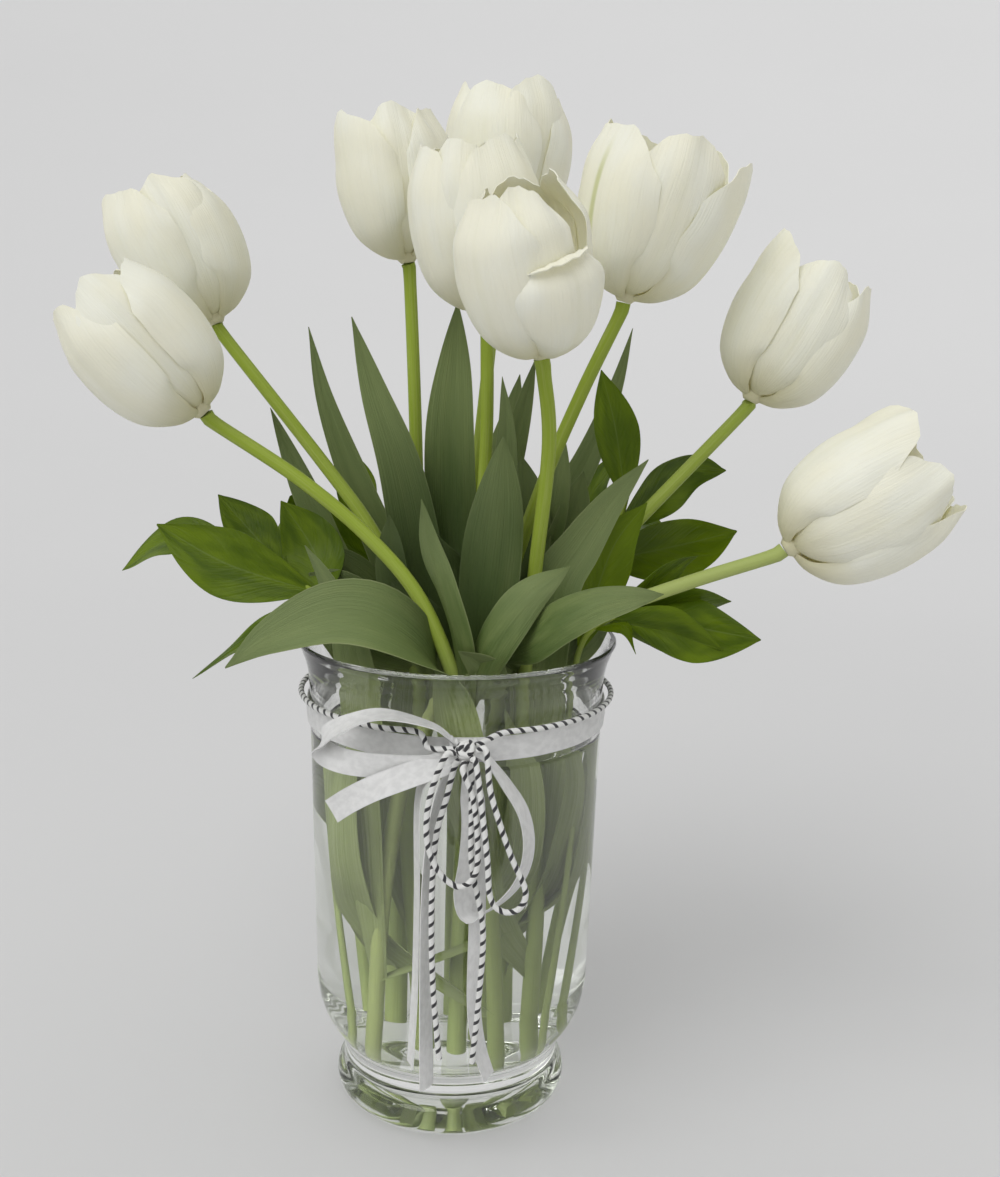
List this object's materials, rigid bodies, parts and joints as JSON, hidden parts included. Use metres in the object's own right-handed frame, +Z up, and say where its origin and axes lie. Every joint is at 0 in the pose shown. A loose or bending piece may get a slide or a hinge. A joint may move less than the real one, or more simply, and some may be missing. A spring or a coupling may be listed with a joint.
{
  "type": "vase of cut tulips",
  "caption": "Bouquet of white tulips with leafy sprigs, standing in water in a clear glass vase tied with satin ribbon and baker's twine.",
  "frame": {"origin": "centre of the vase's flat underside, on the surface it stands on", "axes": "+Z up along the vase's axis, -Y towards the front where the bow is tied, +X to the right seen from the front"},
  "size_m": [0.3466, 0.2135, 0.4309],
  "materials": {
    "clear_glass": "clear, polished",
    "water": "clear still water",
    "white_petal": "soft matte petal with a faint sheen",
    "tulip_green": "matte waxy grey-green leaf and stem",
    "sprig_green": "glossy dark green leaf",
    "white_satin": "satin ribbon",
    "twine": "white cotton twine with black strands"
  },
  "bodies": {
    "root": {"vase": "clear_glass", "water": "water", "tulip_1_bloom": "white_petal", "tulip_1_stem": "tulip_green", "tulip_2_bloom": "white_petal", "tulip_2_stem": "tulip_green", "tulip_3_bloom": "white_petal", "tulip_3_stem": "tulip_green", "tulip_4_bloom": "white_petal", "tulip_4_stem": "tulip_green", "tulip_5_bloom": "white_petal", "tulip_5_stem": "tulip_green", "tulip_6_bloom": "white_petal", "tulip_6_stem": "tulip_green", "tulip_7_bloom": "white_petal", "tulip_7_stem": "tulip_green", "tulip_8_bloom": "white_petal", "tulip_8_stem": "tulip_green", "tulip_9_bloom": "white_petal", "tulip_9_stem": "tulip_green", "sprig_left": "sprig_green", "sprig_right": "sprig_green", "sprig_right_front": "sprig_green", "sprig_back_left": "sprig_green", "sprig_back_right": "sprig_green", "ribbon": "white_satin", "twine_knot": "twine", "twine_band": "twine", "twine_loop_left": "twine", "twine_loop_right": "twine", "twine_tail_left": "twine", "twine_tail_right": "twine"}
  },
  "joints": []
}
